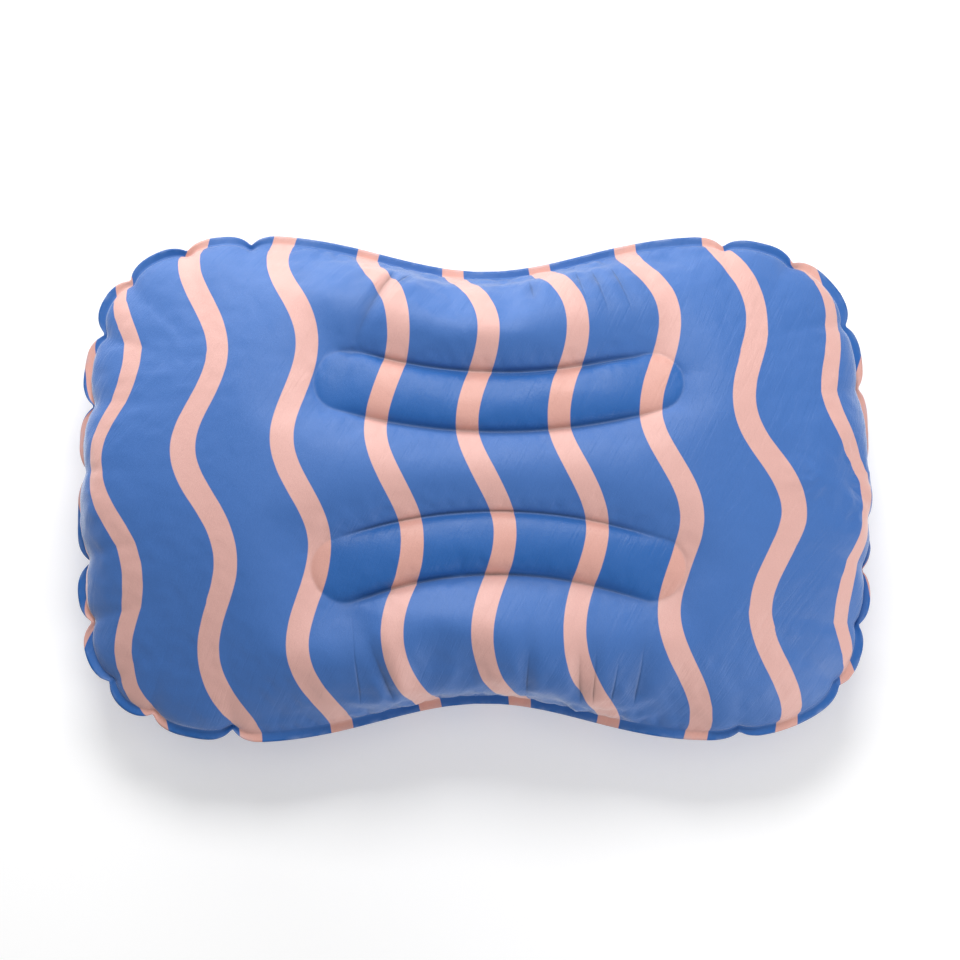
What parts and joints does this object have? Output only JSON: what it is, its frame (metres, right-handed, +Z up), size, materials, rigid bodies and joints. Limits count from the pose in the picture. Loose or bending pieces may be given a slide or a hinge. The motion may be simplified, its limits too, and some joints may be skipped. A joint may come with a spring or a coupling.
{
  "type": "camp pillow",
  "caption": "Inflatable camp pillow of welded printed fabric with a waist, crescent ties inside and a two-way air valve underneath.",
  "frame": {"origin": "centre of the inflated pillow's box, on the surface that it rests on", "axes": "+X along the length towards the end with the valve, +Y across the width towards the rear tie, +Z up through the top panel"},
  "size_m": [0.46, 0.2982, 0.0876],
  "materials": {
    "printed_fabric": "printed laminated polyester, satin",
    "tie_film": "translucent film",
    "valve_plastic": "moulded, satin",
    "flap_silicone": "milky silicone"
  },
  "bodies": {
    "pillow": {"top_panel": "printed_fabric", "bottom_panel": "printed_fabric", "rear_tie_top_patch": "tie_film", "rear_tie_wall": "tie_film", "rear_tie_bottom_patch": "tie_film", "front_tie_top_patch": "tie_film", "front_tie_wall": "tie_film", "front_tie_bottom_patch": "tie_film", "valve_base": "valve_plastic"},
    "plug": {"deflation_plug": "valve_plastic"},
    "flap": {"check_flap": "flap_silicone"},
    "cap": {"inflation_cap": "valve_plastic"}
  },
  "joints": [
    {"name": "plug_hinge", "type": "hinge", "parent": "pillow", "child": "plug", "pos_m": [0.21513, 0, 0.02523], "axis": [0, -1, 0], "range_deg": [0, 115]},
    {"name": "cap_hinge", "type": "hinge", "parent": "plug", "child": "cap", "pos_m": [0.21169, 0, 0.0179], "axis": [0, -1, 0], "range_deg": [0, 90]},
    {"name": "flap_lift", "type": "slide", "parent": "plug", "child": "flap", "axis": [-0.5299, 0, 0.848], "range_m": [0, 0.001]}
  ]
}
